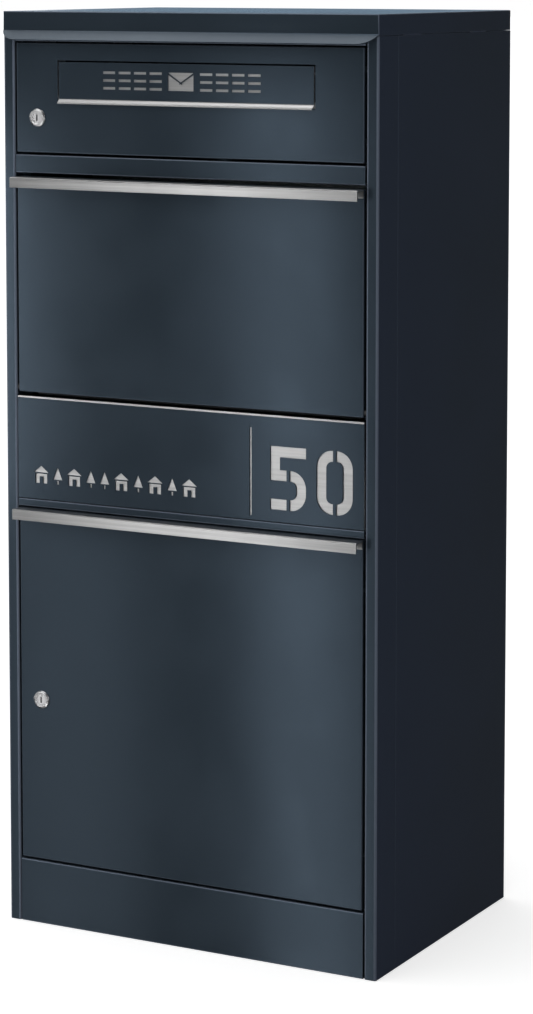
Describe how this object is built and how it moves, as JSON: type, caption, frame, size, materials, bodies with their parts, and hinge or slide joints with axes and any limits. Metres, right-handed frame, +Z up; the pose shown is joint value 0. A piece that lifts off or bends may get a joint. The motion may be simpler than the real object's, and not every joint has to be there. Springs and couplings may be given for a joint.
{
  "type": "parcel and letter cabinet",
  "caption": "Free-standing sheet steel cabinet with a letter flap door, a tilting parcel drop door with tray, an address panel and a lockable collection door.",
  "frame": {"origin": "on the floor plane at the middle of the four anchor holes, which is the middle of the cabinet's footprint", "axes": "front faces -Y, +X is the right side seen from the front, +Z is up"},
  "size_m": [0.495, 0.377, 1.1],
  "materials": {
    "powder_coat": "fine-textured anthracite powder coat",
    "stainless": "brushed along its length",
    "galvanised": "zinc coated",
    "lock_chrome": "nickel plated",
    "buffer_rubber": "matt black",
    "washer_nylon": "matt black"
  },
  "bodies": {
    "cabinet": {"left_side_panel": "powder_coat", "right_side_panel": "powder_coat", "rear_panel": "powder_coat", "left_front_post": "powder_coat", "right_front_post": "powder_coat", "roof_lid": "powder_coat", "roof_cleats": "galvanised", "header_rail": "powder_coat", "upper_rail": "powder_coat", "middle_rail": "powder_coat", "address_backing_plate": "stainless", "address_face_plate": "powder_coat", "address_plate_nuts": "galvanised", "plinth_panel": "powder_coat", "base_plate": "powder_coat", "compartment_floor": "powder_coat", "letter_shelf": "powder_coat", "parcel_guard": "galvanised", "side_hinge_brackets": "galvanised", "side_hinge_pins": "galvanised", "parcel_hinge_washers": "washer_nylon", "door_buffers": "buffer_rubber", "rear_panel_screws": "galvanised"},
    "letter_door": {"letter_door_panel": "powder_coat", "letter_door_hinge_arms": "galvanised", "letter_chute": "galvanised", "letter_lock_housing": "lock_chrome", "letter_lock_nut": "galvanised"},
    "letter_flap": {"letter_flap_backing": "stainless", "letter_flap_face": "powder_coat", "letter_flap_hinge_rod": "galvanised"},
    "letter_lock": {"letter_lock_plug": "lock_chrome", "letter_lock_cam": "galvanised", "letter_lock_cam_screw": "galvanised"},
    "parcel_door": {"parcel_door_panel": "powder_coat", "parcel_door_handle": "stainless", "parcel_tray": "galvanised", "parcel_left_cheek": "galvanised", "parcel_right_cheek": "galvanised", "parcel_tray_rivets": "galvanised", "parcel_door_hinge_pins": "galvanised"},
    "collection_door": {"collection_door_panel": "powder_coat", "collection_door_handle": "stainless", "collection_door_stiffener": "galvanised", "collection_door_hinge_arms": "galvanised", "collection_lock_housing": "lock_chrome", "collection_lock_nut": "galvanised"},
    "collection_lock": {"collection_lock_plug": "lock_chrome", "collection_lock_cam": "galvanised", "collection_lock_cam_screw": "galvanised"}
  },
  "joints": [
    {"name": "letter_door_hinge", "type": "hinge", "parent": "cabinet", "child": "letter_door", "pos_m": [0.2395, -0.172, 0.9985], "axis": [0, 0, 1], "range_deg": [0, 90]},
    {"name": "letter_flap_hinge", "type": "hinge", "parent": "letter_door", "child": "letter_flap", "pos_m": [-0.002, -0.1754, 1.033], "axis": [-1, 0, 0], "range_deg": [0, 80]},
    {"name": "letter_lock_turn", "type": "hinge", "parent": "letter_door", "child": "letter_lock", "pos_m": [-0.2001, -0.18, 0.975], "axis": [0, 1, 0], "range_deg": [0, 90]},
    {"name": "parcel_door_hinge", "type": "hinge", "parent": "cabinet", "child": "parcel_door", "pos_m": [0, -0.175, 0.653], "axis": [1, 0, 0], "range_deg": [0, 50]},
    {"name": "collection_door_hinge", "type": "hinge", "parent": "cabinet", "child": "collection_door", "pos_m": [0.2395, -0.172, 0.294], "axis": [0, 0, 1], "range_deg": [0, 90]},
    {"name": "collection_lock_turn", "type": "hinge", "parent": "collection_door", "child": "collection_lock", "pos_m": [-0.2001, -0.18, 0.276], "axis": [0, 1, 0], "range_deg": [0, 90]}
  ]
}
